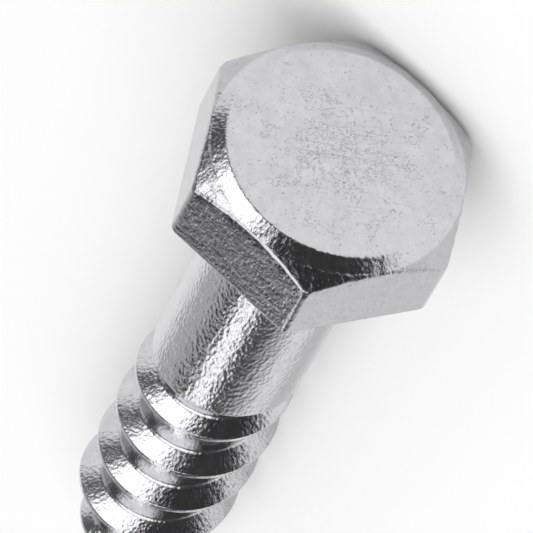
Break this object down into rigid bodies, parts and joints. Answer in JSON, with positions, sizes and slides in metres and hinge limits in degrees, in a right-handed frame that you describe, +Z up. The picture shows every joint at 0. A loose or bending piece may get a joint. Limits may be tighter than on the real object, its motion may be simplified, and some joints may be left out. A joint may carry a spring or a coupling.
{
  "type": "lag screw",
  "caption": "Hex-head lag screw with a chamfered head, plain shank, coarse wood thread and gimlet point, for fastening timber.",
  "frame": {"origin": "where the screw's axis crosses the bearing face, the underside of the head", "axes": "+X from the head to the point, with the axis dipping 4.4 degrees because the screw lies at rest on one flat's edge and a crest; +Z up; +Y across, completing the right-handed set"},
  "size_m": [0.0457, 0.0148, 0.0133],
  "materials": {
    "zinc_steel": "bright zinc plate on steel, slightly pitted and scuffed"
  },
  "bodies": {
    "root": {"lag_screw": "zinc_steel"}
  },
  "joints": []
}
